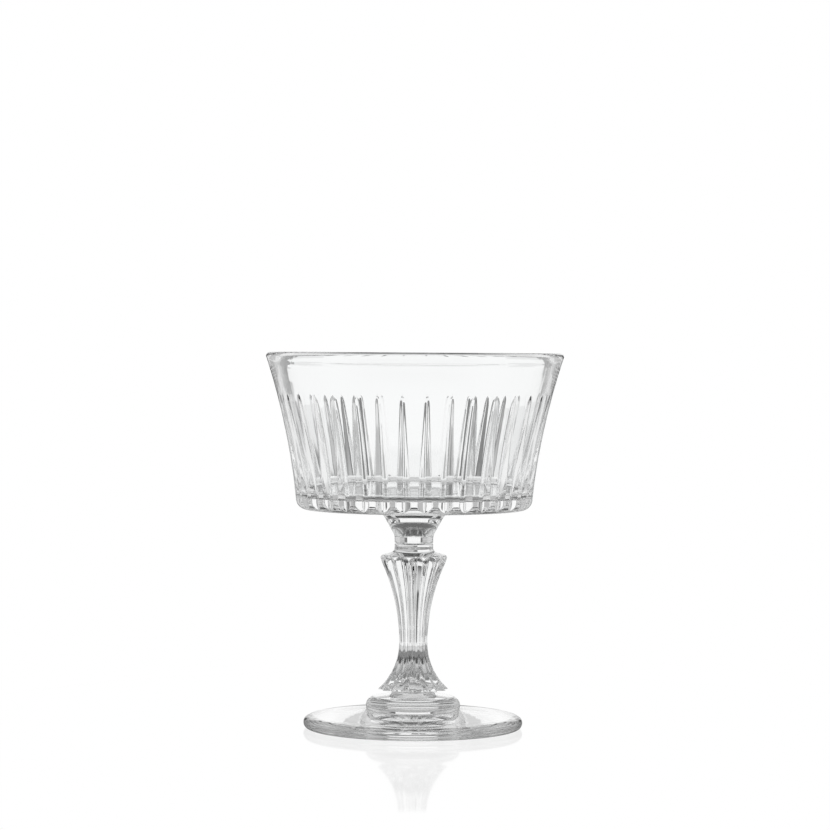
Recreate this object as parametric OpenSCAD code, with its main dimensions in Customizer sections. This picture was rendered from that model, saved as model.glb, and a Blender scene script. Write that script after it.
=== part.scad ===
// Coupe glass of clear pressed glass, in millimetres.
// Frame: +Z up, origin on the axis at the resting plane, -Y is the front.
// Three gathers of glass fused hot, one on top of the other:
//   foot  - resting disc with the cushion boss and a short neck on top
//   stem  - fluted baluster with a sharp scalloped hem that overhangs the neck below it
//   bowl  - flaring cup with V-shaped flutes round the wall and a trumpet neck below

/* [Heights] */
// height of the foot, from the resting plane to its joint with the stem
foot_h = 12.4; // [12:0.1:13.4]
// length of the stem, between its two fused joints
stem_h = 50.6; // [46:0.2:58]
// height of the bowl with its trumpet neck, from its joint to the rim
bowl_h = 65.5; // [60:0.5:72]

/* [Bowl] */
// outer diameter at the rim
rim_d = 102; // [96:0.5:108]
// outer diameter where the wall leaves the rounded lower corner
base_d = 81; // [77:0.5:84]
// radius of the outward bow of the wall
wall_bow = 231; // [200:1:300]
// radius of the lower outer corner
corner_r = 3.8; // [3.2:0.1:4.6]
// thickness of the lip just below its rounding
lip_t = 3.1; // [2.6:0.1:3.6]
// lean of the straight inner wall, in mm outwards for each mm of height
inner_lean = 0.24; // [0.22:0.005:0.25]
// radius of the inner corner at the floor
floor_r = 3.6; // [3:0.2:6]
// thickness of the floor
floor_t = 4.5; // [3.6:0.1:5.4]

/* [Bowl flutes] */
// number of flutes round the wall
flutes = 36; // [36:2:38]
// distance from the rim down to the pointed tips
flute_drop = 14.2; // [12:0.2:18]
// depth of a flute at the foot of the wall
flute_depth = 1.15; // [1:0.05:1.4]
// depth that a flute would have at its tip if it didn't end in a short steep curve
flute_tip = 0.38; // [0.3:0.02:0.44]
// width of a flute at the foot of the wall
flute_w = 4.7; // [4:0.1:5]
// radius of the bow of a flute's root
flute_bow = 231; // [210:1:260]

/* [Stem] */
// diameter of the smooth neck at the upper joint
neck_d = 13.2; // [12:0.1:14]
// lean of the trumpet above that neck, in degrees from upright
trumpet_lean = 29; // [24:1:32]
// diameter over the shoulder
shoulder_d = 22.8; // [21.8:0.1:24]
// diameter of the waist
waist_d = 9.7; // [9:0.1:11]
// height of the waist above the lower joint
waist_z = 16.6; // [15:0.1:18.4]
// diameter over the scalloped hem
hem_d = 24; // [22.6:0.1:24.4]
// diameter of the neck in the groove below the hem, at the lower joint
groove_d = 14.6; // [13:0.1:16]
// number of flutes round the stem
stem_flutes = 14; // [12:1:16]
// radius of the round root of a stem flute
stem_flute_r = 1; // [0.8:0.05:1.2]
// slope of the flanks of a stem flute, in degrees
stem_flank = 27; // [24:0.5:30]
// share of the girth that the stem flutes take up; the rest is the ridges
flute_fill = 0.92; // [0.86:0.01:0.93]
// turn of the stem about its axis, in degrees; at 0 a ridge faces the front
stem_turn = -8.7; // [-12:0.1:12]

/* [Foot] */
// diameter of the resting disc
foot_d = 75; // [70:0.5:80]
// diameter over the cushion boss
cushion_d = 32.3; // [31:0.1:33.5]
// thickness of the disc just inside its rounded edge
disc_t = 4.2; // [3.9:0.1:4.5]
// width of the flat ring that the glass rests on
ring_w = 2.6; // [2:0.1:3.6]
// rise of the hollow under the disc
hollow = 1.4; // [0.6:0.1:1.8]

/* [Hidden] */
joint_low = foot_h;
joint_top = foot_h + stem_h;
rim_z = joint_top + bowl_h;
under_z = joint_top + 11.8;      // flat underside of the cup
wall_lo = [base_d / 2, under_z + corner_r + 0.1];
wall_hi = [rim_d / 2, rim_z - 1.4];
tip_z = rim_z - flute_drop;
glass = [0.86, 0.90, 0.92, 0.5];

// centre of the arc of radius r through a (lower) and b (upper), on the outer side
function outer_centre(a, b, r) =
    let (d = b - a, l = norm(d), k = sqrt(r * r - l * l / 4) / l)
    [(a[0] + b[0]) / 2 + k * d[1], (a[1] + b[1]) / 2 - k * d[0]];
// radius of the body at height z on an arc whose centre lies outside the body
function on_arc(c, r, z) = c[0] - sqrt(r * r - (z - c[1]) * (z - c[1]));
// points of such an arc from height z0 to z1
function hollow_arc(c, r, z0, z1, n) =
    [for (i = [0:n]) let (z = z0 + (z1 - z0) * i / n) [on_arc(c, r, z), z]];
// points of a circle of radius r about c from angle a0 to a1
function turn(c, r, a0, a1, n) =
    [for (i = [0:n]) let (a = a0 + (a1 - a0) * i / n) [c[0] + r * cos(a), c[1] + r * sin(a)]];
// radius of the arc that has its waist at radius w and reaches radius e after a height h
function waist_bow(w, e, h) = ((e - w) * (e - w) + h * h) / (2 * (e - w));
// width and height of the round root of a stem flute, up to where its flanks begin
root_x = stem_flute_r * sin(stem_flank);
root_g = stem_flute_r * (1 - cos(stem_flank));
// radius of a stem flute's root that leaves a narrow land beside the flute, on a body of radius r with the given slope
function root_at(r, slope) =
    let (e = flute_fill * 180 / stem_flutes)
    r * cos(e) - (root_g + (r * sin(e) - root_x) * tan(stem_flank)) / cos(slope);

wall_c = outer_centre(wall_lo, wall_hi, wall_bow);
inner_top = wall_hi[0] - lip_t;
function inner_r(z) = inner_top - inner_lean * (wall_hi[1] - z);
floor_z = under_z + floor_t;
lean_a = atan(inner_lean);
// centre of the inner corner, tangent to the floor and to the leaning inner wall
corner_z = floor_z + floor_r;
corner_c = [inner_r(corner_z) - floor_r / cos(lean_a), corner_z];

// sector of a ring that stands upright in a plane through the axis; its section is the child
module upright_ring(c, a0, a1) {
    translate([c[0], 0, c[1]])
        rotate([90, 0, 0])
            rotate([0, 0, a0])
                rotate_extrude(angle = a1 - a0, $fn = 240)
                    children();
}

// one V-shaped flute of the wall: it deepens evenly from its tip downwards, and leaves the wall on a short steep curve
module wall_flute() {
    tip = [on_arc(wall_c, wall_bow, tip_z) - flute_tip, tip_z];
    low = [wall_lo[0] - flute_depth, wall_lo[1]];
    c = outer_centre(low, tip, flute_bow);
    end_r = 12;
    end = [on_arc(c, flute_bow, tip_z - 3.2), tip_z - 3.2];
    a_end = 180 - asin((end[1] - c[1]) / flute_bow);
    a_low = 180 - asin((under_z - 3 - c[1]) / flute_bow);
    upright_ring(c, a_end, a_low) vee(flute_bow);
    upright_ring(end + (c - end) * end_r / flute_bow, a_end - 24, a_end) vee(end_r);
}

// section of a wall flute whose root runs on a circle of radius r
module vee(r) {
    reach = 1.9;
    half = flute_w / flute_depth * reach / 2;
    polygon([[r, 0], [r - reach, half], [r - reach, -half]]);
}

// flaring cup on its trumpet neck
module bowl() {
    lip = 1.4;
    neck = neck_d / 2;
    a = trumpet_lean;
    low_bend = 4.5;
    top_bend = 5.8;
    low_z = joint_top + 1.7;
    low_end = [neck + low_bend * (1 - cos(a)), low_z + low_bend * sin(a)];
    top_z = under_z - 0.2 - top_bend;
    top_start = low_end[0] + (top_z + top_bend * sin(a) - low_end[1]) * tan(a);
    color(glass)
        difference() {
            rotate_extrude($fn = 180)
                polygon(concat(
                    [[0, joint_top], [neck, joint_top]],
                    // trumpet neck: lower bend, straight cone, upper bend into the underside
                    turn([neck + low_bend, low_z], low_bend, 180, 180 - a, 4),
                    turn([top_start + top_bend * cos(a), top_z], top_bend, 180 - a, 94, 6),
                    // rounded lower corner
                    turn([wall_lo[0] - corner_r, under_z + corner_r], corner_r, -90, -6, 6),
                    // bowed wall
                    hollow_arc(wall_c, wall_bow, wall_lo[1], wall_hi[1], 10),
                    // rounded lip
                    turn([wall_hi[0] - lip, rim_z - lip], lip, 20, 90, 4),
                    turn([inner_top + lip, rim_z - lip], lip, 90, 170, 4),
                    // straight inner wall and inner corner
                    turn(corner_c, floor_r, -lean_a, -90, 7),
                    [[0, floor_z]]
                ));
            for (i = [0:flutes - 1])
                rotate([0, 0, -90 + (i + 0.5) * 360 / flutes])
                    wall_flute();
        }
}

// flutes of the stem, all along one arc of radius bow between two heights; each is a V with a round root
module stem_flutes_on(r_waist, z_waist, bow, z_low, z_high) {
    reach = 3.4;
    x = root_x + (reach - root_g) / tan(stem_flank);
    for (i = [0:stem_flutes - 1])
        rotate([0, 0, -90 + stem_turn + (i + 0.5) * 360 / stem_flutes])
            upright_ring([r_waist + bow, z_waist],
                         180 - asin((z_high - z_waist) / bow),
                         180 - asin((z_low - z_waist) / bow))
                polygon(concat(
                    [[bow - reach, -x]],
                    turn([bow - stem_flute_r, 0], stem_flute_r, -stem_flank, stem_flank, 5),
                    [[bow - reach, x]]
                ));
}

// fluted baluster: two halves that meet at the waist
module stem() {
    waist = waist_d / 2;
    z_waist = joint_low + waist_z;
    shoulder = shoulder_d / 2;
    top_z = joint_low + 44.8;
    hem_z = joint_low + 1;
    groove = groove_d / 2;
    neck = neck_d / 2;
    bow_top = waist_bow(waist, shoulder - 0.25, top_z - z_waist);
    bow_low = waist_bow(waist, hem_d / 2, z_waist - hem_z);
    r_waist = root_at(waist, 0);
    r_top = root_at(shoulder - 0.25, asin((top_z - z_waist) / bow_top));
    r_hem = root_at(hem_d / 2, asin((z_waist - hem_z) / bow_low));
    color(glass)
        union() {
            difference() {
                rotate_extrude($fn = 168)
                    polygon(concat(
                        [[0, z_waist]],
                        hollow_arc([waist + bow_top, z_waist], bow_top, z_waist, top_z, 8),
                        // rounded shoulder, then the smooth neck
                        turn([shoulder - 1.1, top_z + 1.1], 1.1, -16, 80, 6),
                        turn([neck + 1.7, joint_top - 1.25], 1.7, 240, 180, 6),
                        [[neck, joint_top], [0, joint_top]]
                    ));
                stem_flutes_on(r_waist, z_waist, waist_bow(r_waist, r_top, top_z - z_waist),
                               z_waist - 2, top_z + 5);
            }
            difference() {
                rotate_extrude($fn = 168)
                    polygon(concat(
                        [[0, joint_low], [groove, joint_low], [groove + 0.1, joint_low + 0.35],
                         [groove + 0.5, joint_low + 0.7], [hem_d / 2 - 0.25, joint_low + 0.8]],
                        hollow_arc([waist + bow_low, z_waist], bow_low, hem_z, z_waist, 8),
                        [[0, z_waist]]
                    ));
                stem_flutes_on(r_waist, z_waist, waist_bow(r_waist, r_hem, z_waist - hem_z),
                               hem_z - 2, z_waist + 2);
            }
        }
}

// resting disc with the cushion boss
module foot() {
    rc = cushion_d / 2;
    rf = foot_d / 2;
    edge = 1.9;
    groove = groove_d / 2;
    fillet = 1.7;
    bulge = 3.2;
    color(glass)
        rotate_extrude($fn = 180)
            polygon(concat(
                [[0, hollow], [rf * 0.35, hollow * 0.9], [rf * 0.5, hollow * 0.75], [rf * 0.65, hollow * 0.55],
                 [rf * 0.78, hollow * 0.3]],
                [[rf - edge - ring_w, 0], [rf - edge, 0]],
                // rounded edge of the disc
                turn([rf - edge, edge], edge, -66, 66, 10),
                // top that first rises gently and then more
                [[rf - 1.9, disc_t - 0.28], [rf - 2.6, disc_t - 0.1], [rf - 3.8, disc_t + 0.03],
                 [rf * 0.84, disc_t + 0.28], [rf * 0.7, disc_t + 0.82], [rf * 0.55, disc_t + 1.38],
                 [rc + 1.2, disc_t + 1.72], [rc + 0.4, disc_t + 1.85], [rc, disc_t + 1.97]],
                // cushion boss
                turn([rc - bulge, joint_low - 4.75], bulge, -24, 88, 10),
                // short neck that carries the stem
                turn([groove + fillet, joint_low + 0.15], fillet, 266, 188, 6),
                [[groove, joint_low], [0, joint_low]]
            ));
}

bowl();
stem();
foot();
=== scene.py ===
import math
import bpy
import numpy as np
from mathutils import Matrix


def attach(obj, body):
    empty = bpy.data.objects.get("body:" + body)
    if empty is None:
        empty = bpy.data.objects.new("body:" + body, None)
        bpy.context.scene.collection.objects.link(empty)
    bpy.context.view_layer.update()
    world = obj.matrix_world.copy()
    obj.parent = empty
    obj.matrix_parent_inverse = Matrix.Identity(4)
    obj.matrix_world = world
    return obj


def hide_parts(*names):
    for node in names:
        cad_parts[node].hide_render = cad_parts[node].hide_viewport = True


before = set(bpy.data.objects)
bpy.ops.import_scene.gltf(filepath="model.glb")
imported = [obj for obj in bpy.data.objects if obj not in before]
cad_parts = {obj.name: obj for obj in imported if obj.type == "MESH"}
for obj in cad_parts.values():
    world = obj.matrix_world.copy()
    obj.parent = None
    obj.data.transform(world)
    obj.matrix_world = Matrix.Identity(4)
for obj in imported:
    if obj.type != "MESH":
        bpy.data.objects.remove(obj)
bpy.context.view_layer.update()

MM = 0.001

# ---------------------------------------------------------------- measures, in mm, as in the construction file
FOOT_H, STEM_H, BOWL_H = 12.4, 50.6, 65.5
JOINT_LOW, JOINT_TOP = FOOT_H, FOOT_H + STEM_H
RIM_Z = JOINT_TOP + BOWL_H
UNDER_Z = JOINT_TOP + 11.8
RIM_R, BASE_R, FOOT_R = 50.985, 40.5, 37.5  # the rim 0.015 mm smaller than there, to stay inside its box
WALL_BOW, CORNER_R = 231.0, 3.8
LIP_T, LEAN, FLOOR_R, FLOOR_T = 3.1, 0.24, 3.6, 4.5
FLUTES, FLUTE_DROP, FLUTE_DEPTH, FLUTE_W, FLUTE_BOW = 36, 14.2, 1.15, 4.7, 231.0
FLUTE_TIP = 0.38
TRUMPET_LEAN, LOW_BEND, TOP_BEND = 29.0, 4.5, 5.8
NECK_R, SHOULDER_R, WAIST_R, HEM_R = 6.6, 11.4, 4.85, 12.0
WAIST_Z = JOINT_LOW + 16.6
GROOVE_R = 7.3
STEM_FLUTES, STEM_FLUTE_R, STEM_FLANK, FLUTE_FILL, STEM_TURN = 14, 1.0, 27.0, 0.92, -8.7
CUSHION_R, BULGE, FILLET, DISC_T, RING_W, HOLLOW = 16.15, 3.2, 1.7, 4.2, 3.2, 1.4


def outer_centre(a, b, r):
    dx, dz = b[0] - a[0], b[1] - a[1]
    length = math.hypot(dx, dz)
    k = math.sqrt(r * r - length * length / 4) / length
    return ((a[0] + b[0]) / 2 + k * dz, (a[1] + b[1]) / 2 - k * dx)


def on_arc(c, r, z):
    return c[0] - math.sqrt(r * r - (z - c[1]) ** 2)


def turn(c, r, a0, a1, n):
    return [
        (c[0] + r * math.cos(math.radians(a0 + (a1 - a0) * i / n)),
         c[1] + r * math.sin(math.radians(a0 + (a1 - a0) * i / n)))
        for i in range(n + 1)
    ]


def waist_bow(w, e, h):
    return ((e - w) ** 2 + h * h) / (2 * (e - w))


def lin(a, b, n, first=True):
    pts = [(a[0] + (b[0] - a[0]) * i / n, a[1] + (b[1] - a[1]) * i / n) for i in range(n + 1)]
    return pts if first else pts[1:]


# ---------------------------------------------------------------- mesh from rings that share their columns
def skin(name, rings, clear_rows=()):
    """rings: list of (n, 3) arrays in mm, from the lower pole outwards and round to the upper pole. Both ends are
    closed with one vertex on the axis. clear_rows are the rows of faces that lie in a fused joint."""
    n = len(rings[0])
    low = np.array([[0.0, 0.0, rings[0][:, 2].mean()]])
    high = np.array([[0.0, 0.0, rings[-1][:, 2].mean()]])
    verts = np.concatenate([low] + list(rings) + [high]) * MM
    col = np.arange(n)
    nxt = (col + 1) % n
    faces, slots, rows = [], [], []
    first = 1
    faces.append(np.stack([np.zeros(n, int), first + nxt, first + col], 1))
    rows.append(np.zeros(n, int))
    quads, qrows = [], []
    for k in range(len(rings) - 1):
        a, b = first + k * n, first + (k + 1) * n
        quads.append(np.stack([a + col, a + nxt, b + nxt, b + col], 1))
        qrows.append(np.full(n, k + 1))
    last = first + (len(rings) - 1) * n
    top = len(verts) - 1
    faces.append(np.stack([np.full(n, top), last + col, last + nxt], 1))
    rows.append(np.full(n, len(rings)))
    tris = np.concatenate(faces)
    quads = np.concatenate(quads)
    trow, qrow = np.concatenate(rows), np.concatenate(qrows)
    mesh = bpy.data.meshes.new(name)
    mesh.from_pydata(verts.tolist(), [], tris.tolist() + quads.tolist())
    mesh.update()
    row = np.concatenate([trow, qrow])
    mesh.polygons.foreach_set("use_smooth", np.ones(len(row), bool))
    mesh.polygons.foreach_set("material_index", np.isin(row, list(clear_rows)).astype(np.int32))
    mesh.update()
    ob = bpy.data.objects.new(name, mesh)
    bpy.context.scene.collection.objects.link(ob)
    return ob


def around(profile, angles):
    """Plain turned rings: profile is a list of (r, z), angles the columns in radians."""
    c, s = np.cos(angles), np.sin(angles)
    return [np.stack([r * c, r * s, np.full(len(angles), z)], 1) for r, z in profile]


# ---------------------------------------------------------------- bowl
wall_lo = (BASE_R, UNDER_Z + CORNER_R + 0.1)
wall_hi = (RIM_R, RIM_Z - 1.4)
wall_c = outer_centre(wall_lo, wall_hi, WALL_BOW)
tip_z = RIM_Z - FLUTE_DROP
root_c = outer_centre((wall_lo[0] - FLUTE_DEPTH, wall_lo[1]), (on_arc(wall_c, WALL_BOW, tip_z) - FLUTE_TIP, tip_z),
                      FLUTE_BOW)
inner_top = wall_hi[0] - LIP_T
lean_a = math.degrees(math.atan(LEAN))
floor_z = UNDER_Z + FLOOR_T
corner_z = floor_z + FLOOR_R
corner_c = (inner_top - LEAN * (wall_hi[1] - corner_z) - FLOOR_R / math.cos(math.radians(lean_a)), corner_z)

# share of the flute's half width, and the depth there, with a soft arris and a soft root
FLUTE_T = [-1.07, -1.0, -0.93, -0.62, -0.32, -0.08, 0.0, 0.08, 0.32, 0.62, 0.93, 1.0, 1.07]
FLUTE_D = [0.0, 0.018, 0.07, 0.38, 0.68, 0.915, 0.945, 0.915, 0.68, 0.38, 0.07, 0.018, 0.0]
LANDS = 6


def fluted_ring(r, z):
    """One ring of the outer wall, with the V flutes cut where the wheel's root lies inside the wall."""
    pitch = 2 * math.pi / FLUTES
    depth = r - on_arc(root_c, FLUTE_BOW, z)
    # the cutter leaves the wall on a short steep curve, which gives the flute its blunt point
    s = tip_z - z
    if s < 3.2:
        t = max(s, 0.0) / 3.2
        depth *= math.sqrt(t * (2 - t))
    cut = max(depth, 0.0)
    half = max(cut, 0.09) * (FLUTE_W / (2 * FLUTE_DEPTH)) / r
    phi, d = [], []
    for t, f in zip(FLUTE_T, FLUTE_D):
        phi.append(t * half)
        d.append(f * cut)
    edge = FLUTE_T[-1] * half
    for i in range(1, LANDS + 1):
        phi.append(edge + (pitch - 2 * edge) * i / (LANDS + 1))
        d.append(0.0)
    phi, d = np.array(phi), np.array(d)
    starts = (np.arange(FLUTES) + 0.5) * pitch - math.pi / 2
    ang = (starts[:, None] + phi[None, :]).ravel()
    rad = r - np.tile(d, FLUTES)
    return np.stack([rad * np.cos(ang), rad * np.sin(ang), np.full(len(ang), z)], 1)


def make_bowl():
    out = []
    a = math.radians(TRUMPET_LEAN)
    low_z = JOINT_TOP + 1.7
    low_end = (NECK_R + LOW_BEND * (1 - math.cos(a)), low_z + LOW_BEND * math.sin(a))
    bend_z = UNDER_Z - 0.2 - TOP_BEND
    start = (low_end[0] + (bend_z + TOP_BEND * math.sin(a) - low_end[1]) * math.tan(a), bend_z + TOP_BEND * math.sin(a))
    cap = [(2.2, JOINT_TOP), (4.4, JOINT_TOP), (NECK_R, JOINT_TOP)]
    out += cap
    out += turn((NECK_R + LOW_BEND, low_z), LOW_BEND, 180, 180 - TRUMPET_LEAN, 8)
    out += lin(low_end, start, 4)[1:]
    centre = start[0] + TOP_BEND * math.cos(a)
    out += turn((centre, bend_z), TOP_BEND, 180 - TRUMPET_LEAN, 90, 12)[1:]
    out += lin((centre, UNDER_Z - 0.2), (wall_lo[0] - CORNER_R - 1.2, UNDER_Z), 5)[1:]
    out += turn((wall_lo[0] - CORNER_R, UNDER_Z + CORNER_R), CORNER_R, -90, -3, 16)
    z0 = out[-1][1] + 0.4
    zs = list(np.linspace(z0, tip_z - 3.4, 22)) + list(tip_z - 3.2 * (1 - np.linspace(0, 1, 11)) ** 2)
    zs += list(np.linspace(tip_z + 1.0, wall_hi[1], 6))
    out += [(on_arc(wall_c, WALL_BOW, z), z) for z in zs]
    lip = 1.45
    out += turn((wall_hi[0] - lip, RIM_Z - lip), lip, 12, 90, 6)[0:]
    out += turn((inner_top + lip, RIM_Z - lip), lip, 90, 172, 6)[0:]
    zi = np.linspace(wall_hi[1] - 1.2, corner_z, 6)
    out += [(inner_top - LEAN * (wall_hi[1] - z), z) for z in zi[:-1]]
    out += turn(corner_c, FLOOR_R, -lean_a, -90, 10)
    out += [(corner_c[0] * 0.66, floor_z), (corner_c[0] * 0.33, floor_z)]
    rings = [fluted_ring(r, z) for r, z in out]
    return skin("bowl_glass", rings, clear_rows=(0, 1, 2))


# ---------------------------------------------------------------- stem
top_z = JOINT_LOW + 44.8
hem_z = JOINT_LOW + 1.0


stem_bow_top = waist_bow(WAIST_R, SHOULDER_R - 0.25, top_z - WAIST_Z)
stem_bow_low = waist_bow(WAIST_R, HEM_R, WAIST_Z - hem_z)


def stem_r(z):
    if z >= WAIST_Z:
        return WAIST_R + stem_bow_top - math.sqrt(stem_bow_top ** 2 - (z - WAIST_Z) ** 2)
    return WAIST_R + stem_bow_low - math.sqrt(stem_bow_low ** 2 - (z - WAIST_Z) ** 2)


STEM_COLS = 24
FLANK = math.tan(math.radians(STEM_FLANK))
ROOT_X = STEM_FLUTE_R * math.sin(math.radians(STEM_FLANK))
ROOT_G = STEM_FLUTE_R * (1 - math.cos(math.radians(STEM_FLANK)))


def root_at(r, slope):
    e = FLUTE_FILL * math.pi / STEM_FLUTES
    return r * math.cos(e) - (ROOT_G + (r * math.sin(e) - ROOT_X) * FLANK) / math.cos(slope)


ROOT_WAIST = root_at(WAIST_R, 0.0)
root_bow_top = waist_bow(ROOT_WAIST, root_at(SHOULDER_R - 0.25, math.asin((top_z - WAIST_Z) / stem_bow_top)),
                         top_z - WAIST_Z)
root_bow_low = waist_bow(ROOT_WAIST, root_at(HEM_R, math.asin((WAIST_Z - hem_z) / stem_bow_low)), WAIST_Z - hem_z)


def stem_ring(r, z, flute=True):
    """One ring of the stem. A flute is a V with a round root; its section stands square to the arc of its root."""
    n = STEM_FLUTES * STEM_COLS
    pitch = 2 * math.pi / STEM_FLUTES
    turned = np.arange(n) * 2 * math.pi / n
    ang = turned - math.pi / 2 + math.radians(STEM_TURN)
    off = pitch / 2 - np.abs((turned + pitch / 2) % pitch - pitch / 2)  # 0 on a flute's centre line
    rad = np.full(n, float(r))
    if flute:
        bow = root_bow_top if z >= WAIST_Z else root_bow_low
        h = z - WAIST_Z
        root = ROOT_WAIST + bow - math.sqrt(bow * bow - h * h)
        lean = math.sqrt(1 - (h / bow) ** 2)
        cut = np.full(n, root)
        for _ in range(8):
            y = cut * np.sin(off)
            bend = STEM_FLUTE_R - np.sqrt(np.maximum(STEM_FLUTE_R ** 2 - y * y, 0))
            g = np.where(y < ROOT_X, bend, ROOT_G + (y - ROOT_X) * FLANK)
            cut = (root + g / lean) / np.cos(off)
        k = 0.08  # softening of the ridges
        h = np.clip(0.5 + 0.5 * (rad - cut) / k, 0, 1)
        rad = rad * (1 - h) + cut * h - k * h * (1 - h)
    return np.stack([rad * np.cos(ang), rad * np.sin(ang), np.full(n, float(z))], 1)


def make_stem():
    rings = []
    for r in (2.4, 4.9, GROOVE_R):
        rings.append(stem_ring(r, JOINT_LOW, False))
    for r, dz in ((0.03, 0.2), (0.12, 0.4), (0.3, 0.57), (0.55, 0.68), (1.0, 0.74)):
        rings.append(stem_ring(GROOVE_R + r, JOINT_LOW + dz, False))
    # flat underside of the overhanging hem, out to its scalloped edge
    inner = stem_ring(GROOVE_R + 1.0, JOINT_LOW + 0.74, False)
    edge = stem_ring(HEM_R, hem_z)
    for f, dz in ((0.3, 0.75), (0.65, 0.76), (0.9, 0.78), (0.975, 0.83), (1.0, 0.91)):
        mid = inner * (1 - f) + edge * f
        mid[:, 2] = JOINT_LOW + dz
        rings.append(mid)
    for z in np.linspace(hem_z, hem_z + 1.2, 5)[:-1]:
        rings.append(stem_ring(stem_r(z), z))
    for z in np.linspace(hem_z + 1.2, WAIST_Z, 30)[:-1]:
        rings.append(stem_ring(stem_r(z), z))
    for z in np.linspace(WAIST_Z, top_z - 0.5, 34):
        rings.append(stem_ring(stem_r(z), z))
    for r, z in turn((SHOULDER_R - 1.1, top_z + 1.1), 1.1, -22, 80, 14):
        rings.append(stem_ring(r, z))
    for r, z in lin((SHOULDER_R - 0.91, top_z + 2.18), (NECK_R + 0.85, JOINT_TOP - 2.72), 5)[1:-1]:
        rings.append(stem_ring(r, z))
    for r, z in turn((NECK_R + 1.7, JOINT_TOP - 1.25), 1.7, 240, 180, 12):
        rings.append(stem_ring(r, z, False))
    rings.append(stem_ring(NECK_R, JOINT_TOP, False))
    rings.append(stem_ring(4.4, JOINT_TOP, False))
    rings.append(stem_ring(2.2, JOINT_TOP, False))
    last = len(rings)
    return skin("stem_glass", rings, clear_rows=(0, 1, 2, last - 2, last - 1, last))


# ---------------------------------------------------------------- foot
def make_foot():
    n = 384
    ang = np.arange(n) * 2 * math.pi / n
    rf, rc, edge = FOOT_R, CUSHION_R, 1.9
    p = [(rf * 0.18, HOLLOW * 0.99), (rf * 0.35, HOLLOW * 0.9), (rf * 0.5, HOLLOW * 0.75), (rf * 0.65, HOLLOW * 0.55),
         (rf * 0.78, HOLLOW * 0.3), (rf - 1.3 - RING_W - 0.6, 0.06), (rf - 1.3 - RING_W, 0.0), (rf - 1.9, 0.0)]
    p += turn((rf - edge, edge), edge, -75, 75, 20)
    p += [(rf - 1.9, DISC_T - 0.28), (rf - 2.6, DISC_T - 0.1), (rf - 3.8, DISC_T + 0.03), (rf * 0.84, DISC_T + 0.28),
          (rf * 0.7, DISC_T + 0.82), (rf * 0.55, DISC_T + 1.38), (rc + 1.2, DISC_T + 1.72), (rc + 0.4, DISC_T + 1.85),
          (rc, DISC_T + 1.97)]
    p += turn((rc - BULGE, JOINT_LOW - 4.75), BULGE, -24, 90, 22)
    p += turn((GROOVE_R + FILLET, JOINT_LOW + 0.15), FILLET, 270, 187, 12)
    k = len(p)
    p += [(GROOVE_R, JOINT_LOW), (4.9, JOINT_LOW), (2.4, JOINT_LOW)]
    return skin("foot_glass", around(p, ang), clear_rows=(k + 1, k + 2, k + 3))


bowl, stem, foot = make_bowl(), make_stem(), make_foot()

# ---------------------------------------------------------------- materials
def glass_material(name, wave=0.02, scale=90.0):
    m = bpy.data.materials.new(name)
    m.use_nodes = True
    nt = m.node_tree
    nt.nodes.clear()
    out = nt.nodes.new("ShaderNodeOutputMaterial")
    p = nt.nodes.new("ShaderNodeBsdfPrincipled")
    p.inputs["Base Color"].default_value = (0.985, 0.99, 0.99, 1)
    p.inputs["Roughness"].default_value = 0.0
    p.inputs["IOR"].default_value = 1.5
    p.inputs["Transmission Weight"].default_value = 1.0
    tc = nt.nodes.new("ShaderNodeTexCoord")
    noise = nt.nodes.new("ShaderNodeTexNoise")
    noise.inputs["Scale"].default_value = scale
    noise.inputs["Detail"].default_value = 2.0
    nt.links.new(tc.outputs["Object"], noise.inputs["Vector"])
    bump = nt.nodes.new("ShaderNodeBump")
    bump.inputs["Strength"].default_value = 1.0
    bump.inputs["Distance"].default_value = wave * MM
    nt.links.new(noise.outputs["Fac"], bump.inputs["Height"])
    nt.links.new(bump.outputs["Normal"], p.inputs["Normal"])
    nt.links.new(p.outputs["BSDF"], out.inputs["Surface"])
    return m


def joint_material():
    m = bpy.data.materials.new("fused_joint")
    m.use_nodes = True
    nt = m.node_tree
    nt.nodes.clear()
    out = nt.nodes.new("ShaderNodeOutputMaterial")
    t = nt.nodes.new("ShaderNodeBsdfTransparent")
    nt.links.new(t.outputs["BSDF"], out.inputs["Surface"])
    return m


joint = joint_material()
for ob, node, slot in ((bowl, "bowl", "bowl_glass"), (stem, "stem", "stem_glass"), (foot, "foot", "foot_glass")):
    ob.data.materials.append(glass_material("clear_" + node))
    ob.data.materials.append(joint)
    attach(ob, "root")
    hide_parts(node)

# ---------------------------------------------------------------- floor, light, camera
FLOOR_GLOSS = 0.2
SIDE_LOW, SIDE_HIGH, FLAG, CEILING = 0.62, 0.9, 0.14, 0.15
PANEL_TURN = 1.0
CARD_W, CARD_TOP_W, CARD_Y, CARD_H = 0.0465, 0.082, 0.200, 0.140
floor_mesh = bpy.data.meshes.new("floor")
S = 6.0
floor_mesh.from_pydata([(-S, -S, 0), (S, -S, 0), (S, S, 0), (-S, S, 0)], [], [(0, 1, 2, 3)])
floor = bpy.data.objects.new("floor", floor_mesh)
bpy.context.scene.collection.objects.link(floor)
floor.location.z = -0.00002
fm = bpy.data.materials.new("white_floor")
fm.use_nodes = True
world = bpy.data.worlds.new("studio")
bpy.context.scene.world = world
world.use_nodes = True


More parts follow.
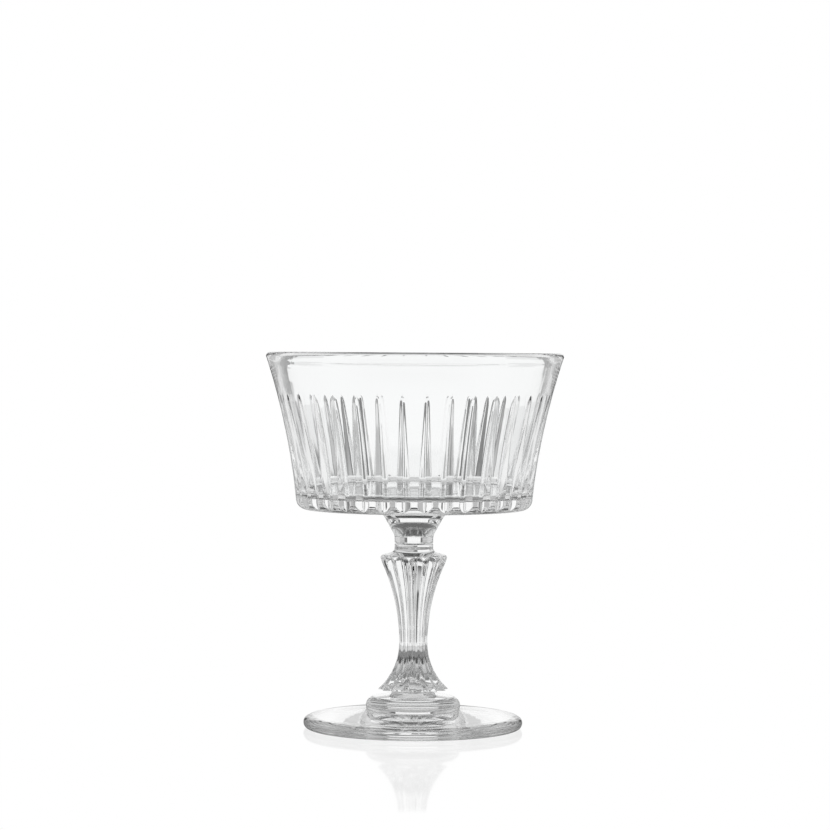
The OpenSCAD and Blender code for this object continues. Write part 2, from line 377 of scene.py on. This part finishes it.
class Nodes:
    """Small helper that builds chains of math nodes in one node tree."""

    def __init__(self, tree):
        self.tree = tree
        tree.nodes.clear()

    def new(self, kind):
        return self.tree.nodes.new(kind)

    def link(self, a, b):
        self.tree.links.new(a, b)

    def math(self, op, *args):
        n = self.new("ShaderNodeMath")
        n.operation = op
        for i, v in enumerate(args):
            if isinstance(v, (int, float)):
                n.inputs[i].default_value = v
            else:
                self.link(v, n.inputs[i])
        return n.outputs[0]

    def ramp(self, v, lo, hi, a=0.0, b=1.0):
        """a up to lo, b from hi on, with a smooth passage between."""
        n = self.new("ShaderNodeMapRange")
        n.interpolation_type = "SMOOTHSTEP"
        n.clamp = True
        self.link(v, n.inputs["Value"])
        for key, value in (("From Min", lo), ("From Max", hi), ("To Min", a), ("To Max", b)):
            if isinstance(value, (int, float)):
                n.inputs[key].default_value = value
            else:
                self.link(value, n.inputs[key])
        return n.outputs["Result"]


def from_card(n, az):
    """Angle round the glass, away from the middle of the card behind it."""
    return n.math("ABSOLUTE", n.math("SUBTRACT", az, PANEL_TURN))


# the floor is white where the camera sees it straight, with a faint gloss; rays through the glass see painted shade on
# it, darkest near the foot, with painted dark bands further out
f = Nodes(fm.node_tree)
geo = f.new("ShaderNodeNewGeometry")
length = f.new("ShaderNodeVectorMath")
length.operation = "LENGTH"
f.link(geo.outputs["Position"], length.inputs[0])
r = f.math("MULTIPLY", length.outputs["Value"], 1000.0)
cut = f.new("ShaderNodeSeparateXYZ")
f.link(geo.outputs["Position"], cut.inputs[0])
away = from_card(f, f.math("MULTIPLY", f.math("ARCTAN2", cut.outputs[0], cut.outputs[1]), 180 / math.pi))
# painted shade on the floor near the foot, seen only through the glass: rings darker or lighter by distance from the
# axis and by angle round the glass
painted_floor_shade = f.ramp(r, 8.0, 12.0, 0.35, 0.16)
painted_floor_shade = f.ramp(r, 20.0, 24.0, painted_floor_shade, f.ramp(away, 60.0, 120.0, 0.45, 0.2))
painted_floor_shade = f.ramp(r, 30.0, 36.0, painted_floor_shade, f.ramp(away, 60.0, 120.0, 0.6, 0.12))
painted_floor_shade = f.ramp(r, 46.0, 53.0, painted_floor_shade, f.ramp(away, 30.0, 60.0, 0.05, f.ramp(away, 100.0, 140.0, 0.26, 0.0)))
painted_floor_shade = f.ramp(r, 70.0, 80.0, painted_floor_shade, f.ramp(away, 40.0, 60.0, 0.22, f.ramp(away, 85.0, 120.0, 0.5, 0.0)))
painted_floor_shade = f.ramp(r, 112.0, 124.0, painted_floor_shade, f.ramp(away, 130.0, 150.0, 0.7, 0.0))
painted_floor_shade = f.ramp(r, 190.0, 210.0, painted_floor_shade, 0.9)
# painted dark bands on the far floor, in line with the studio's dark flags beside the card, seen only through the glass
painted_flag_band = f.math("MULTIPLY", f.ramp(away, 9.5, 12.0), f.ramp(away, 35.0, 39.0, 1.0, 0.0))
painted_band_shade = f.ramp(away, 17.0, 21.0, 0.15, f.ramp(r, 1200.0, 1600.0, 0.5, 0.8))
painted_far_shade = f.ramp(painted_flag_band, 0.0, 1.0, f.ramp(away, 120.0, 150.0, 0.85, 0.5), painted_band_shade)
painted_floor_shade = f.ramp(r, 260.0, 340.0, painted_floor_shade, painted_far_shade)
# camera rays see the floor evenly white; all other rays take the painted shade
fp = f.new("ShaderNodeLightPath")
strength = f.math("MAXIMUM", painted_floor_shade, fp.outputs["Is Camera Ray"])
fe = f.new("ShaderNodeEmission")
fe.inputs["Color"].default_value = (1, 1, 1, 1)
f.link(strength, fe.inputs["Strength"])
fg = f.new("ShaderNodeBsdfGlossy")
fg.inputs["Color"].default_value = (1, 1, 1, 1)
fg.inputs["Roughness"].default_value = 0.05
fx = f.new("ShaderNodeMixShader")
gloss = f.ramp(r, 176.0, 190.0, FLOOR_GLOSS, 0.0)
f.link(f.math("MULTIPLY", fp.outputs["Is Camera Ray"], gloss), fx.inputs[0])
f.link(fe.outputs["Emission"], fx.inputs[1])
f.link(fg.outputs["BSDF"], fx.inputs[2])
fo = f.new("ShaderNodeOutputMaterial")
f.link(fx.outputs["Shader"], fo.inputs["Surface"])
floor_mesh.materials.append(fm)

# a white card stands close behind the glass, wider at the level of the rim
card_mesh = bpy.data.meshes.new("card")
outline = [(CARD_W, 0.0), (CARD_W, 0.119), (CARD_TOP_W, 0.127), (CARD_TOP_W, CARD_H)]
outline += [(-x, z) for x, z in reversed(outline)]
card_mesh.from_pydata([(x, CARD_Y, z) for x, z in outline], [], [(0, 1, 6, 7), (1, 2, 5, 6), (2, 3, 4, 5)])
card = bpy.data.objects.new("card", card_mesh)
bpy.context.scene.collection.objects.link(card)
cm = bpy.data.materials.new("white_card")
cm.use_nodes = True
c = Nodes(cm.node_tree)
ce = c.new("ShaderNodeEmission")
ce.inputs["Color"].default_value = (1, 1, 1, 1)
co = c.new("ShaderNodeOutputMaterial")
c.link(ce.outputs[0], co.inputs["Surface"])
card_mesh.materials.append(cm)
card.visible_camera = False  # the backdrop behind it is white too; from behind it would hide the glass

# studio: dark flags beside the card, light sides beyond them, dark above, and a white backdrop for the camera
w = Nodes(world.node_tree)
coord = w.new("ShaderNodeTexCoord")
sep = w.new("ShaderNodeSeparateXYZ")
w.link(coord.outputs["Generated"], sep.inputs[0])
az = w.math("MULTIPLY", w.math("ARCTAN2", sep.outputs[0], sep.outputs[1]), 180 / math.pi)
el = w.math("MULTIPLY", w.math("ARCSINE", sep.outputs[2]), 180 / math.pi)
away = from_card(w, az)
# dark beside the card, light beyond
low = w.ramp(away, 62.0, 75.0, SIDE_LOW, w.ramp(away, 100.0, 115.0, 0.2, 0.45))
side = w.ramp(el, 8.0, 16.0, low, SIDE_HIGH)
dark = w.ramp(el, 8.0, 10.0, FLAG, 0.6)
value = w.ramp(away, 10.0, 11.5, 1.0, w.ramp(away, 17.0, 21.0, dark, 0.5))
value = w.ramp(away, 31.0, 37.0, value, side)
back = w.ramp(away, 31.0, 37.0, 0.04, 0.75)
value = w.ramp(el, 13.0, 20.0, value, back)
value = w.ramp(el, 34.0, 52.0, value, CEILING)
path = w.new("ShaderNodeLightPath")
seen = w.math("MAXIMUM", value, path.outputs["Is Camera Ray"])
bg = w.new("ShaderNodeBackground")
bg.inputs["Color"].default_value = (1, 1, 1, 1)
w.link(seen, bg.inputs["Strength"])
wo = w.new("ShaderNodeOutputWorld")
w.link(bg.outputs[0], wo.inputs["Surface"])

cam_data = bpy.data.cameras.new("camera")
cam = bpy.data.objects.new("camera", cam_data)
bpy.context.scene.collection.objects.link(cam)
bpy.context.scene.camera = cam
MM_PX = 0.342
DIST = 2930 * MM_PX
cam_data.sensor_width = 36.0
cam_data.lens = 36.0 * 2930 / 830
cam_data.clip_start = 0.05
cam_data.clip_end = 50.0
horizon, axis_x = 353.0, 414.7
cam.location = ((415 - axis_x) * MM_PX * MM, -DIST * MM, (728.3 - horizon) * MM_PX * MM)
tilt = math.atan((415 - horizon) / 2930)
roll = math.radians(0.35)
from mathutils import Matrix
cam.matrix_world = (Matrix.Translation(cam.location) @ Matrix.Rotation(math.pi / 2 - tilt, 4, "X")
                    @ Matrix.Rotation(roll, 4, "Z"))

sc = bpy.context.scene
sc.view_settings.view_transform = "Standard"
sc.view_settings.look = "None"
sc.view_settings.exposure = 0.0
sc.view_settings.gamma = 1.0
sc.cycles.max_bounces = 32
sc.cycles.transmission_bounces = 32
sc.cycles.glossy_bounces = 16
sc.cycles.transparent_max_bounces = 32
sc.cycles.diffuse_bounces = 4
sc.cycles.caustics_reflective = True
sc.cycles.caustics_refractive = True
sc.cycles.blur_glossy = 0.0
sc.cycles.sample_clamp_indirect = 0.0
sc.cycles.use_denoising = True
